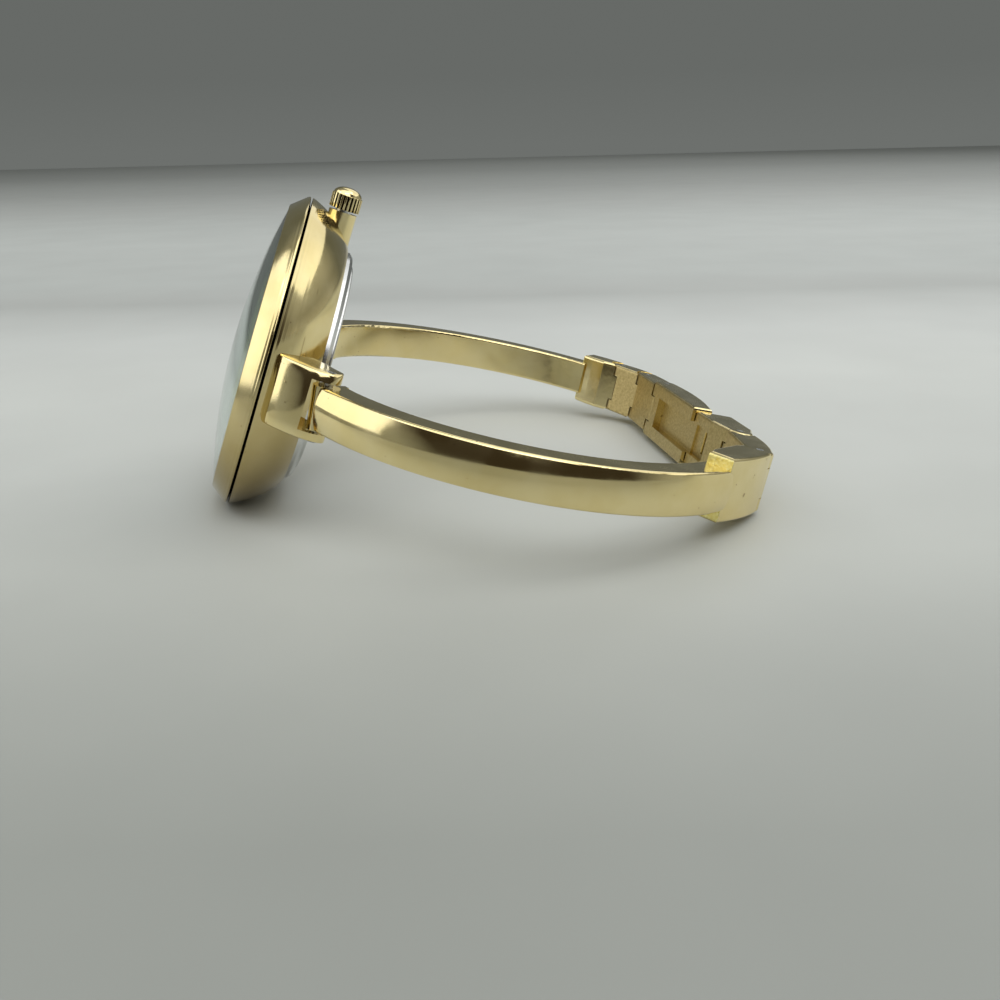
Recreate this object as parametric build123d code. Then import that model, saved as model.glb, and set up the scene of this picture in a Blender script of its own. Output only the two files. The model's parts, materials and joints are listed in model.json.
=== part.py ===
from build123d import *
from math import asin, atan2, cos, degrees, hypot, pi, radians, sin, sqrt, tan
import os

# A bangle watch lying on its side, as it rests on a table.
# Watch frame: X runs from the dial to the case back, Z to the crown, Y across the wrist.
# Band frame: the same axes turned about Y at the lugs, since the band rises a little to the rear.
# Every piece is made in one of these frames and then leaned over onto the table.

# Case, lengths in millimetres
CASE_RADIUS = 17.2
CASE_DEPTH = 5.0
CASE_REAR_RADIUS = 13.4
CASE_BULGE = 0.55
CAVITY_RADIUS = 14.5
CAVITY_DEPTH = 2.9
BACK_OPENING_RADIUS = 12.0
GROOVE_WIDTH = 0.25
GROOVE_DEPTH = 0.4
SMALL_FIT = 0.03
GAP = 0.1

# Bezel, crystal and the ring under it
BEZEL_HEIGHT = 1.9
BEZEL_TOP_RADIUS = 15.95
BEZEL_BULGE = 0.28
BEZEL_BORE_RADIUS = 15.6
GASKET_WALL = 0.3
CRYSTAL_EDGE = 1.1
CRYSTAL_DOME = 1.9
CRYSTAL_THICK = 1.3
RING_WALL = 1.2
RING_HEIGHT = 0.9
DIAL_DEPTH = 0.9

# Dial and hands
DIAL_THICK = 0.4
DIAL_HOLE_RADIUS = 0.95
MARKER_LENGTH = 2.4
MARKER_WIDTH = 0.55
MARKER_HEIGHT = 0.2
MARKER_INSET = 1.5
HAND_THICK = 0.12
HAND_PITCH = 0.3
HOUR_HAND = 7.4
MINUTE_HAND = 11.0
SECOND_HAND = 12.0
HAND_TAIL = 2.6
HAND_WIDTH = 0.95
SECOND_WIDTH = 0.22
HOUR_TURN = 214.5
MINUTE_TURN = -36.0
SECOND_TURN = 120.0
HUB_RADIUS = 0.85
STAFF_RADIUS = 0.16
CANNON_RADIUS = 0.42
HOUR_TUBE_RADIUS = 0.68
RUN = 0.04

# Movement, a quartz calibre held by a plastic ring
PLATE_RADIUS = 9.8
PLATE_THICK = 0.7
TRAIN_SPACE = 1.5
BRIDGE_THICK = 0.35
BRIDGE_HALF_WIDTH = 2.5
BRIDGE_TOP = 2.3
BRIDGE_BOTTOM = 6.0
POST_RADIUS = 0.4
HOUR_WHEEL_RADIUS = 2.0
FOURTH_WHEEL_RADIUS = 1.5
FIFTH_WHEEL_RADIUS = 1.3
ROTOR_RADIUS = 0.8
WHEEL_THICK = 0.16
WHEEL_TEETH = 20
TOOTH_DEPTH = 0.15
ARBOR_RADIUS = 0.15
FIFTH_DISTANCE = 3.0
ROTOR_DISTANCE = 5.2
BATTERY_RADIUS = 3.4
BATTERY_THICK = 1.65
BATTERY_DISTANCE = 6.1
STRAP_WIDTH = 1.6
STRAP_THICK = 0.2
COIL_LENGTH = 6.4
COIL_RADIUS = 0.55
COIL_DISTANCE = 7.8
STATOR_WIDTH = 1.0
STATOR_DEPTH = 2.4
STATOR_THICK = 0.25
POLE_GAP = 0.2
BOARD_LENGTH = 6.8
BOARD_WIDTH = 4.2
BOARD_THICK = 0.25
BOARD_Y = 5.8
BOARD_Z = 1.0

# Crown, its stem and tube
CROWN_PLACE = 3.45
CROWN_RADIUS = 1.62
CROWN_INSET = 0.1
CROWN_HEIGHT = 1.5
CROWN_DOME = 0.9
FLUTE_COUNT = 24
FLUTE_RADIUS = 0.16
CROWN_CAVITY_RADIUS = 1.15
CROWN_CAVITY_DEPTH = 1.2
CROWN_RECESS = 0.25
BOSS_RADIUS = 1.5
TUBE_RADIUS = 0.85
TUBE_BORE_RADIUS = 0.5
STEM_RADIUS = 0.4
STEM_END = 6.0
SEAL_LENGTH = 0.5

# Case back
BACK_RADIUS = 12.9
BACK_THICK = 0.75
BACK_CHAMFER = 0.35
BACK_SPIGOT = 0.6
BACK_WALL = 0.7
BACK_RISE = 0.35
BACK_FACE_RADIUS = 11.6
BACK_GASKET_WIDTH = 0.4
BACK_GASKET_THICK = 0.35

# Lugs and the two hinges on the case
LUG_HALF_WIDTH = 3.5
LUG_START = 1.05
LUG_STEP = 0.25
LUG_HINGE_X = 5.8
LUG_REACH = 1.2
LUG_EAR_RADIUS = 1.2
LUG_BULGE = 0.7
LUG_ROOT_Y = 13.2
LUG_ROOT_X = 4.4
LUG_SLOT_X = 4.2
LUG_SLOT_HALF = 2.52
LUG_EDGE = 0.5
HINGE_PIN_RADIUS = 0.5
PIN_RUN = 0.04

# Band, in the band frame
BAND_TILT = 7.35
BAND_PIVOT = 6.2
ARM_RADIUS = 25.9
ARM_THICK = 3.05
ARM_HALF_WIDTH = 2.16
ARM_DOME = 0.45
ARM_EDGE = 0.3
ARM_START = 61.2
ARM_FACE = 59.4
ARM_END = 40.9
ARM_HINGE_INSET = 0.8
ARM_KNUCKLE_RADIUS = 1.1
ARM_STEP = 0.25
BLOCK_HALF_WIDTH = 3.3
NEAR_BLOCK_LENGTH = 9.0
FAR_BLOCK_LENGTH = 5.6
BLOCK_LAP = 0.5
BLOCK_INNER = 1.9
BLOCK_OUTER = 1.95
BLOCK_SHOULDER = 2.2
BLOCK_CREST = 1.6
BLOCK_NOSE = 1.1
BLOCK_SLOPE = 1.6
BLOCK_HEEL = 1.6
BLOCK_EDGE = 0.4
KNUCKLE_RADIUS = 1.5
KNUCKLE_GAP = 0.15
TONGUE_HALF = 1.6
LINK_HALF_WIDTH = 3.2
LINK_BULGE = 0.45
LINK_EDGE = 0.35
LINK_PIN_RADIUS = 0.4
NEAR_LINK_X = 1.2
NEAR_LINK_Y = 7.9
FAR_LINK_X = 2.5
FAR_LINK_Y = 4.1

# Clasp: a box on the near half and a folded tongue on the far half
CLASP_HALF_WIDTH = 3.25
BOX_LENGTH = 7.6
BOX_INNER = 2.2
BOX_OUTER = 2.2
BOX_WALL = 0.7
BOX_SIDE = 0.85
BOX_LIP = 0.55
BOX_END_WALL = 3.2
BOX_CORNER = 0.6
BASE_STEP = 1.2
BASE_HINGE_Y = 10.2
BASE_GAP = 0.2
BASE_BULGE = 0.5
BASE_BULGE_SHARE = 0.45
BASE_NOSE = 0.9
BASE_POCKET_DEPTH = 1.0
BASE_POCKET_HALF = 1.9
BASE_POCKET_INSET = 2.4
TONGUE_LENGTH = 4.2
TONGUE_ROOT = 1.0
TONGUE_LEVEL = 0.2
TONGUE_REACH = 2.3
TONGUE_CLEAR = 0.1
TONGUE_TIP_RADIUS = 0.65
TONGUE_FREE = 0.5
LEAF_THICK = 0.4
LEAF_SLOT_WIDTH = 0.6
LEAF_SLOT_HALF = 1.3
LEAF_SLOT_PLACE = 2.2

# The lug hinges, the arms' ends and the clasp's hinges follow from the case and the arcs of the arms
CROWN_BASE = CASE_RADIUS - CROWN_INSET
LUG_HINGE_Y = CASE_RADIUS + LUG_REACH
ARM_MID_RADIUS = ARM_RADIUS - ARM_THICK / 2
ARM_CENTRE_X = LUG_HINGE_X + (ARM_RADIUS - ARM_HINGE_INSET) * sin(radians(ARM_START))
ARM_CENTRE_Y = LUG_HINGE_Y - (ARM_RADIUS - ARM_HINGE_INSET) * cos(radians(ARM_START))
BLOCK_TURN = ARM_END - degrees(BLOCK_LAP / ARM_MID_RADIUS)


def block_place(length):
    # A place in line with the block, from where the arm's arc runs into it
    turn = radians(BLOCK_TURN)
    x = ARM_CENTRE_X + ARM_MID_RADIUS * sin(turn) + length * cos(turn)
    return x, -ARM_CENTRE_Y - ARM_MID_RADIUS * cos(turn) + length * sin(turn)


NEAR_BLOCK_END = block_place(NEAR_BLOCK_LENGTH)
FAR_BLOCK_END = block_place(FAR_BLOCK_LENGTH)
BOX_HINGE = (NEAR_BLOCK_END[0] + NEAR_LINK_X, NEAR_BLOCK_END[1] + NEAR_LINK_Y)
FAR_JOINT = (FAR_BLOCK_END[0] + FAR_LINK_X, FAR_BLOCK_END[1] + FAR_LINK_Y)
BASE_HINGE = (BOX_HINGE[0] - BASE_STEP, -BASE_HINGE_Y)
BASE_LENGTH = BASE_HINGE_Y - BOX_HINGE[1] - BOX_LENGTH - BASE_GAP

# The outside of the case is an arc through its front rim, its bulge and its rear rim
CASE_FRONT = GROOVE_WIDTH / 2
CHORD = hypot(CASE_DEPTH - CASE_FRONT, CASE_RADIUS - CASE_REAR_RADIUS)
CASE_ARC_RADIUS = (CHORD**2 / 4 + CASE_BULGE**2) / (2 * CASE_BULGE)
CHORD_X = (CASE_DEPTH - CASE_FRONT) / CHORD
CHORD_R = (CASE_RADIUS - CASE_REAR_RADIUS) / CHORD
ARC_MID = (
    (CASE_FRONT + CASE_DEPTH) / 2 + CASE_BULGE * CHORD_R,
    (CASE_RADIUS + CASE_REAR_RADIUS) / 2 + CASE_BULGE * CHORD_X,
)
ARC_CENTRE = (
    ARC_MID[0] - CASE_ARC_RADIUS * CHORD_R,
    ARC_MID[1] - CASE_ARC_RADIUS * CHORD_X,
)

# The watch rests on the case's rounded side and on the clasp box's lower edge, which sets its lean
TILT = radians(BAND_TILT)
REST_X = BOX_HINGE[0] + BOX_OUTER - LINK_EDGE - BAND_PIVOT
REST_Z = CLASP_HALF_WIDTH - LINK_EDGE
LEAN_SIN = BAND_PIVOT - ARC_CENTRE[0] + REST_X * cos(TILT) + REST_Z * sin(TILT)
LEAN_COS = REST_Z * cos(TILT) - REST_X * sin(TILT) - ARC_CENTRE[1]
LEAN = asin((CASE_ARC_RADIUS - LINK_EDGE) / hypot(LEAN_SIN, LEAN_COS)) - atan2(LEAN_COS, LEAN_SIN)
LIFT = ARC_CENTRE[0] * sin(LEAN) + ARC_CENTRE[1] * cos(LEAN) + CASE_ARC_RADIUS

# The base of the tongue lies further in than the box, so it is wider to rest on the table too
BASE_OUTER_X = BASE_HINGE[0] + KNUCKLE_RADIUS + BASE_BULGE
BASE_HALF_WIDTH = CLASP_HALF_WIDTH + (BOX_HINGE[0] + BOX_OUTER - BASE_OUTER_X) * tan(LEAN - TILT)


def turned(outline):
    # A round piece about the case's axis, from an outline of places along X and radii
    return revolve(make_face(outline), Axis.X)


def ring(front, rear, inner, outer):
    return turned(Polyline((front, inner), (rear, inner), (rear, outer), (front, outer), close=True))


def disc(front, rear, radius, y=0, z=0):
    thick = rear - front
    return Pos((front + rear) / 2, y, z) * Rot(0, 90, 0) * Cylinder(radius, thick)


def pillar(x, y, radius, low, high):
    return Pos(x, y, (low + high) / 2) * Cylinder(radius, high - low)


def slab(x0, x1, y0, y1, z0, z1):
    return Pos((x0 + x1) / 2, (y0 + y1) / 2, (z0 + z1) / 2) * Box(x1 - x0, y1 - y0, z1 - z0)


def rounded(body, radius):
    # Rounds the long edges of a piece that is flat above and below
    levels = body.edges().group_by(Axis.Z)
    return fillet(levels[0] + levels[-1], radius)


def case_outside():
    rear = (CASE_DEPTH, CASE_REAR_RADIUS)
    rim = ThreePointArc((CASE_FRONT, CASE_RADIUS), ARC_MID, rear)
    return turned(rim + Polyline(rear, (CASE_DEPTH, 0), (CASE_FRONT, 0), (CASE_FRONT, CASE_RADIUS)))


def case_body():
    boss = pillar(CROWN_PLACE, 0, BOSS_RADIUS, CAVITY_RADIUS - BOSS_RADIUS, CROWN_BASE - CROWN_RECESS)
    body = case_outside() + boss
    body -= disc(CASE_FRONT, CASE_FRONT + CAVITY_DEPTH, CAVITY_RADIUS)
    body -= disc(CASE_FRONT + CAVITY_DEPTH, CASE_DEPTH, BACK_OPENING_RADIUS)
    body -= case_back_gasket()
    return body - pillar(CROWN_PLACE, 0, TUBE_RADIUS, BACK_OPENING_RADIUS - BOSS_RADIUS, CROWN_BASE)


def bezel():
    seat = CASE_RADIUS - GROOVE_DEPTH
    top = -CASE_FRONT - BEZEL_HEIGHT
    mid_x = (top - CASE_FRONT) / 2 - BEZEL_BULGE
    mid_r = (CASE_RADIUS + BEZEL_TOP_RADIUS) / 2 + BEZEL_BULGE
    side = ThreePointArc((-CASE_FRONT, CASE_RADIUS), (mid_x, mid_r), (top, BEZEL_TOP_RADIUS))
    inside = Polyline(
        (top, BEZEL_TOP_RADIUS), (top, BEZEL_BORE_RADIUS), (CASE_FRONT, BEZEL_BORE_RADIUS),
        (CASE_FRONT, seat), (-CASE_FRONT, seat), (-CASE_FRONT, CASE_RADIUS),
    )
    return turned(side + inside)


def crystal():
    edge = BEZEL_BORE_RADIUS - GASKET_WALL
    front = -CASE_FRONT - BEZEL_HEIGHT
    rear = front + CRYSTAL_EDGE
    bore = edge - CRYSTAL_EDGE
    outside = ThreePointArc((front, edge), (front - CRYSTAL_DOME, 0), (front, -edge))
    inside = ThreePointArc((rear, -bore), (front - CRYSTAL_DOME + CRYSTAL_THICK, 0), (rear, bore))
    rims = Line((front, -edge), (rear, -edge)) + Line((rear, -edge), (rear, -bore))
    rims += Line((rear, bore), (rear, edge)) + Line((rear, edge), (front, edge))
    section = make_face(outside + inside + rims)
    half = section & (Pos(front, edge / 2) * Rectangle(4 * edge, edge))
    return revolve(half, Axis.X)


def dial_ring():
    front = CASE_FRONT - RING_HEIGHT
    rear = CASE_FRONT + DIAL_DEPTH
    outer = BEZEL_BORE_RADIUS - GASKET_WALL
    bore = CAVITY_RADIUS - GAP
    outline = Polyline(
        (rear, bore - RING_WALL), (front, outer - RING_WALL / 2), (front, outer),
        (CASE_FRONT, outer), (CASE_FRONT, bore), (rear, bore), close=True,
    )
    return turned(outline)


DIAL_FRONT = CASE_FRONT + DIAL_DEPTH
PLATE_FRONT = DIAL_FRONT + DIAL_THICK
TRAIN_FRONT = PLATE_FRONT + PLATE_THICK
BRIDGE_FRONT = TRAIN_FRONT + TRAIN_SPACE
BRIDGE_REAR = BRIDGE_FRONT + BRIDGE_THICK


def dial():
    return ring(DIAL_FRONT, DIAL_FRONT + DIAL_THICK, DIAL_HOLE_RADIUS, CAVITY_RADIUS - GAP)


def hour_markers():
    outer = CAVITY_RADIUS - RING_WALL - MARKER_INSET
    half = MARKER_WIDTH / 2
    marker = slab(DIAL_FRONT - MARKER_HEIGHT, DIAL_FRONT, -half, half, outer - MARKER_LENGTH, outer)
    marker = chamfer(marker.edges().group_by(Axis.X)[0], MARKER_HEIGHT / 2)
    hours = 12
    return Compound([Rot(360 / hours * hour, 0, 0) * marker for hour in range(hours)])


def hand(level, length, width, hub, bore):
    # A tapered hand pointing along Z before it is turned to its hour
    front = DIAL_FRONT - HAND_PITCH * level - HAND_THICK
    half, tip, tail = width / 2, width / 5, width / 3
    points = [(-half, 0), (-tip, length), (tip, length), (half, 0), (tail, -HAND_TAIL), (-tail, -HAND_TAIL)]
    blade = Pos(front, 0, 0) * extrude(Plane.YZ * make_face(Polyline(*points, close=True)), HAND_THICK)
    blade += disc(front, front + HAND_THICK, hub)
    return blade - disc(front - HAND_THICK, front + 2 * HAND_THICK, bore)


def hour_hand():
    return Rot(HOUR_TURN, 0, 0) * hand(1, HOUR_HAND, HAND_WIDTH, HUB_RADIUS, HOUR_TUBE_RADIUS)


def minute_hand():
    return Rot(MINUTE_TURN, 0, 0) * hand(2, MINUTE_HAND, HAND_WIDTH, HUB_RADIUS, CANNON_RADIUS)


def second_hand():
    return Rot(SECOND_TURN, 0, 0) * hand(3, SECOND_HAND, SECOND_WIDTH, HUB_RADIUS / 2, STAFF_RADIUS)


def gear(front, radius, bore):
    # A thin toothed wheel about the case's axis
    teeth = WHEEL_TEETH
    points = []
    for tooth in range(teeth):
        for quarter, depth in enumerate((0, 0, TOOTH_DEPTH, TOOTH_DEPTH)):
            turn = 2 * pi * (tooth + quarter / 4) / teeth
            points.append(((radius - depth) * cos(turn), (radius - depth) * sin(turn)))
    blank = Pos(front, 0, 0) * extrude(Plane.YZ * make_face(Polyline(*points, close=True)), WHEEL_THICK)
    return blank - disc(front - WHEEL_THICK, front + 2 * WHEEL_THICK, bore)


def hour_wheel():
    # The wheel lies in the plate's recess and its tube comes through the dial to the hour hand
    level = TRAIN_FRONT + RUN
    tube = disc(DIAL_FRONT - HAND_PITCH - HAND_THICK, level + WHEEL_THICK, HOUR_TUBE_RADIUS)
    tube -= disc(DIAL_FRONT - 2 * HAND_PITCH, level + 2 * WHEEL_THICK, CANNON_RADIUS + RUN)
    return tube + gear(level, HOUR_WHEEL_RADIUS, HOUR_TUBE_RADIUS)


def cannon_pinion():
    level = TRAIN_FRONT + 2 * RUN + 2 * WHEEL_THICK
    tube = disc(DIAL_FRONT - 2 * HAND_PITCH - HAND_THICK, level + WHEEL_THICK, CANNON_RADIUS)
    tube += gear(level, HOUR_WHEEL_RADIUS - TOOTH_DEPTH, CANNON_RADIUS)
    return tube - disc(DIAL_FRONT - 3 * HAND_PITCH, level + 2 * WHEEL_THICK, STAFF_RADIUS + RUN)


def fourth_wheel():
    level = BRIDGE_FRONT - 3 * WHEEL_THICK
    staff = disc(DIAL_FRONT - 3 * HAND_PITCH - HAND_THICK, BRIDGE_REAR, STAFF_RADIUS)
    return staff + gear(level, FOURTH_WHEEL_RADIUS, STAFF_RADIUS)


def fifth_wheel():
    wheel = gear(BRIDGE_FRONT - 3 * WHEEL_THICK, FIFTH_WHEEL_RADIUS, ARBOR_RADIUS)
    return Pos(0, 0, -FIFTH_DISTANCE) * (wheel + disc(TRAIN_FRONT, BRIDGE_REAR, ARBOR_RADIUS))


def rotor():
    magnet = disc(TRAIN_FRONT + WHEEL_THICK, BRIDGE_FRONT - 4 * WHEEL_THICK, ROTOR_RADIUS)
    return Pos(0, 0, -ROTOR_DISTANCE) * (magnet + disc(TRAIN_FRONT + RUN, BRIDGE_REAR, ARBOR_RADIUS))


def main_plate():
    plate = ring(PLATE_FRONT, TRAIN_FRONT, HOUR_TUBE_RADIUS + RUN, PLATE_RADIUS)
    for side in (-1, 1):
        for height in (BRIDGE_TOP, -FIFTH_DISTANCE):
            across = side * (BRIDGE_HALF_WIDTH - POST_RADIUS)
            plate += disc(TRAIN_FRONT, BRIDGE_FRONT, POST_RADIUS, across, height - POST_RADIUS)
    return plate


def train_bridge():
    half = BRIDGE_HALF_WIDTH
    bridge = slab(BRIDGE_FRONT, BRIDGE_REAR, -half, half, -BRIDGE_BOTTOM, BRIDGE_TOP)
    bridge = fillet(bridge.edges().filter_by(Axis.X), POST_RADIUS)
    bridge -= disc(BRIDGE_FRONT, BRIDGE_REAR, STAFF_RADIUS + RUN)
    for below in (FIFTH_DISTANCE, ROTOR_DISTANCE):
        bridge -= disc(BRIDGE_FRONT, BRIDGE_REAR, ARBOR_RADIUS + RUN, 0, -below)
    return bridge


def battery():
    cell = disc(TRAIN_FRONT, TRAIN_FRONT + BATTERY_THICK, BATTERY_RADIUS, BATTERY_DISTANCE, 0)
    return chamfer(cell.edges().group_by(Axis.X)[-1], STRAP_THICK)


def battery_strap():
    rear = TRAIN_FRONT + BATTERY_THICK
    near = BATTERY_DISTANCE - BATTERY_RADIUS
    reach = BATTERY_DISTANCE + BATTERY_RADIUS
    half = STRAP_WIDTH / 2
    strap = slab(rear, rear + STRAP_THICK, near, reach + STRAP_THICK, -half, half)
    return strap + slab(TRAIN_FRONT, rear, reach, reach + STRAP_THICK, -half, half)


STATOR_FRONT = TRAIN_FRONT + RUN + COIL_RADIUS - STATOR_THICK / 2


def coil():
    place = Pos(STATOR_FRONT + STATOR_THICK / 2, 0, -COIL_DISTANCE)
    return place * Rot(90, 0, 0) * Cylinder(COIL_RADIUS, COIL_LENGTH) - stator()


def stator():
    # Its two legs hold the coil's core, and its pole piece goes round the rotor
    rear = STATOR_FRONT + STATOR_THICK
    out = COIL_LENGTH / 2
    low = -ROTOR_DISTANCE - STATOR_DEPTH / 2
    high = -ROTOR_DISTANCE + STATOR_DEPTH / 2
    core = -COIL_DISTANCE + STATOR_THICK
    wide = out + STATOR_WIDTH
    pole = slab(STATOR_FRONT, rear, -wide, wide, core - 2 * STATOR_THICK, high)
    pole -= slab(STATOR_FRONT, rear, -out, out, core, low)
    return pole - disc(STATOR_FRONT, rear, ROTOR_RADIUS + POLE_GAP, 0, -ROTOR_DISTANCE)


def circuit_board():
    y0 = -BOARD_Y - BOARD_WIDTH / 2
    z0 = BOARD_Z - BOARD_LENGTH / 2
    return slab(TRAIN_FRONT, TRAIN_FRONT + BOARD_THICK, y0, y0 + BOARD_WIDTH, z0, z0 + BOARD_LENGTH)


def movement_ring():
    step = CASE_FRONT + CAVITY_DEPTH - GAP
    holder = ring(PLATE_FRONT, step, PLATE_RADIUS + SMALL_FIT, CAVITY_RADIUS - GAP)
    holder += ring(step, BRIDGE_REAR, PLATE_RADIUS + SMALL_FIT, BACK_OPENING_RADIUS - GAP)
    holder -= pillar(CROWN_PLACE, 0, STEM_RADIUS + GAP, STEM_END, CAVITY_RADIUS)
    notch = STEM_RADIUS + GAP
    holder -= slab(CROWN_PLACE, BRIDGE_REAR, -notch, notch, STEM_END, CAVITY_RADIUS)
    low = BACK_OPENING_RADIUS - BOSS_RADIUS - GAP
    return holder - pillar(CROWN_PLACE, 0, TUBE_RADIUS + GAP, low, CAVITY_RADIUS)


def crown():
    # A fluted ring under a smooth dome, with a cavity for the case's tube
    level = CROWN_BASE + CROWN_HEIGHT
    top = level + CROWN_DOME
    sphere_radius = (CROWN_RADIUS**2 + CROWN_DOME**2) / (2 * CROWN_DOME)
    section = Circle(CROWN_RADIUS) - PolarLocations(CROWN_RADIUS, FLUTE_COUNT) * Circle(FLUTE_RADIUS)
    knob = Pos(0, 0, CROWN_BASE) * extrude(section, CROWN_HEIGHT)
    dome = Pos(0, 0, top - sphere_radius) * Sphere(sphere_radius)
    knob += dome & pillar(0, 0, CROWN_RADIUS, level, top)
    knob -= pillar(0, 0, CROWN_CAVITY_RADIUS, CROWN_BASE, CROWN_BASE + CROWN_CAVITY_DEPTH)
    return Pos(CROWN_PLACE, 0, 0) * knob


def crown_stem():
    return pillar(CROWN_PLACE, 0, STEM_RADIUS, STEM_END, CROWN_BASE + CROWN_CAVITY_DEPTH)


def crown_tube():
    low = BACK_OPENING_RADIUS - BOSS_RADIUS
    high = CROWN_BASE + CROWN_CAVITY_DEPTH - 2 * GAP
    bore = pillar(CROWN_PLACE, 0, TUBE_BORE_RADIUS, low, high)
    return pillar(CROWN_PLACE, 0, TUBE_RADIUS, low, high) - bore


def crown_gasket():
    low = CROWN_BASE + GAP
    outer = pillar(CROWN_PLACE, 0, CROWN_CAVITY_RADIUS - RUN / 2, low, low + SEAL_LENGTH)
    return outer - pillar(CROWN_PLACE, 0, TUBE_RADIUS + RUN, low, low + SEAL_LENGTH)


def case_back():
    front = CASE_DEPTH
    rear = front + BACK_THICK
    plate = disc(front, rear, BACK_RADIUS)
    plate = chamfer(plate.edges().group_by(Axis.X)[-1], BACK_CHAMFER)
    raised = disc(rear, rear + BACK_RISE, BACK_FACE_RADIUS)
    raised = fillet(raised.edges().group_by(Axis.X)[-1], BACK_RISE / 2)
    outer = BACK_OPENING_RADIUS - SMALL_FIT
    return plate + raised + ring(front - BACK_SPIGOT, front, outer - BACK_WALL, outer)


def case_back_gasket():
    inner = BACK_OPENING_RADIUS + BACK_GASKET_THICK
    return ring(CASE_DEPTH - BACK_GASKET_THICK, CASE_DEPTH, inner, inner + BACK_GASKET_WIDTH)


def crystal_gasket():
    front = -CASE_FRONT - BEZEL_HEIGHT
    return ring(front, front + CRYSTAL_EDGE, BEZEL_BORE_RADIUS - GASKET_WALL, BEZEL_BORE_RADIUS)


def lug():
    # The near lug, which rises from the case's side and ends in two ears round the hinge pin
    front = (LUG_START, CASE_RADIUS + LUG_STEP)
    x, y = LUG_HINGE_X, LUG_HINGE_Y
    top = (x, y + LUG_EAR_RADIUS)
    rear = (x + LUG_EAR_RADIUS, y)
    bulge = ((front[0] + top[0]) / 2, (front[1] + top[1]) / 2 + LUG_BULGE)
    outline = ThreePointArc(front, bulge, top)
    outline += ThreePointArc(top, (x + LUG_EAR_RADIUS / sqrt(2), y + LUG_EAR_RADIUS / sqrt(2)), rear)
    outline += Polyline(rear, (LUG_ROOT_X, LUG_ROOT_Y), (LUG_START, LUG_ROOT_Y), front)
    body = extrude(make_face(outline), LUG_HALF_WIDTH, both=True)
    levels = body.edges().filter_by(GeomType.CIRCLE).group_by(Axis.Z)
    body = fillet(levels[0] + levels[-1], LUG_EDGE)
    body -= slab(LUG_SLOT_X, x + 2 * LUG_EAR_RADIUS, 0, 2 * y, -LUG_SLOT_HALF, LUG_SLOT_HALF)
    body -= pillar(x, y, HINGE_PIN_RADIUS, -LUG_HALF_WIDTH, LUG_HALF_WIDTH)
    return mirror(body, Plane.XZ) - case_outside()


def lug_pin():
    return pillar(LUG_HINGE_X, -LUG_HINGE_Y, HINGE_PIN_RADIUS, -LUG_HALF_WIDTH, LUG_HALF_WIDTH)


def arm():
    # The near arm in the band frame: a strip with a domed outside, bent round one arc
    inner = ARM_RADIUS - ARM_THICK
    half = ARM_HALF_WIDTH
    section = Polyline((ARM_RADIUS, -half), (inner, -half), (inner, half), (ARM_RADIUS, half))
    section += ThreePointArc((ARM_RADIUS, half), (ARM_RADIUS + ARM_DOME, 0), (ARM_RADIUS, -half))
    strip = revolve(Plane.XZ * make_face(section), Axis.Z, ARM_FACE + ARM_END)
    strip = fillet(strip.edges().filter_by(lambda edge: edge.length > ARM_RADIUS), ARM_EDGE)
    root = Plane.XZ * Pos(ARM_MID_RADIUS - ARM_STEP / 2, 0) * Rectangle(ARM_THICK - ARM_STEP, 2 * half)
    lead = ARM_START - ARM_FACE
    strip = Rot(0, 0, lead) * strip + revolve(root, Axis.Z, lead)
    strip = Pos(ARM_CENTRE_X, -ARM_CENTRE_Y) * Rot(0, 0, -ARM_START - 90) * strip
    return strip + pillar(LUG_HINGE_X, -LUG_HINGE_Y, ARM_KNUCKLE_RADIUS, -half, half)


def along(start, end):
    # The place of a piece whose length runs from one hinge to the next, with its outside towards -Y
    turn = degrees(atan2(end[1] - start[1], end[0] - start[0]))
    return Pos(*start) * Rot(0, 0, turn)


def distance(start, end):
    return hypot(end[0] - start[0], end[1] - start[1])


def ears(body, half, place=0):
    # Cuts the middle away round a hinge, and drills the two ears that are left for their pin
    body -= pillar(place, 0, KNUCKLE_RADIUS + KNUCKLE_GAP, -TONGUE_HALF - GAP, TONGUE_HALF + GAP)
    return body - pillar(place, 0, LINK_PIN_RADIUS, -half, half)


def tongue(body, half, place):
    # Cuts both sides away round a hinge, and drills the middle that is left to turn on the pin
    for side in (-1, 1):
        low, high = sorted((side * TONGUE_HALF, side * (half + GAP)))
        body -= pillar(place, 0, KNUCKLE_RADIUS + KNUCKLE_GAP, low, high)
    return body - pillar(place, 0, LINK_PIN_RADIUS + PIN_RUN, -half, half)


def link(start, end):
    length = distance(start, end)
    r = KNUCKLE_RADIUS
    outline = Line((0, r), (length, r)) + ThreePointArc((length, r), (length + r, 0), (length, -r))
    outline += ThreePointArc((length, -r), (length / 2, -r - LINK_BULGE), (0, -r))
    outline += ThreePointArc((0, -r), (-r, 0), (0, r))
    body = rounded(extrude(make_face(outline), LINK_HALF_WIDTH, both=True), LINK_EDGE)
    body = tongue(ears(body, LINK_HALF_WIDTH), LINK_HALF_WIDTH, length)
    return along(start, end) * body


def hinge_pin(place, half):
    return pillar(*place, LINK_PIN_RADIUS, -half, half)


def end_block(length):
    # The near arm's end block, which takes the arm's end and carries the first hinge of its chain
    r = KNUCKLE_RADIUS
    heel = [(0, -BLOCK_CREST), (0, BLOCK_NOSE), (BLOCK_SLOPE, BLOCK_HEEL)]
    outline = Polyline(*heel, (length - BLOCK_SHOULDER, BLOCK_INNER), (length, r))
    outline += ThreePointArc((length, r), (length + r, 0), (length, -r))
    outline += ThreePointArc((length, -r), (length / 2, -BLOCK_OUTER), heel[0])
    body = rounded(extrude(make_face(outline), BLOCK_HALF_WIDTH, both=True), BLOCK_EDGE)
    body = tongue(body, BLOCK_HALF_WIDTH, length)
    return along(block_place(0), block_place(length)) * body - arm()


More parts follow.
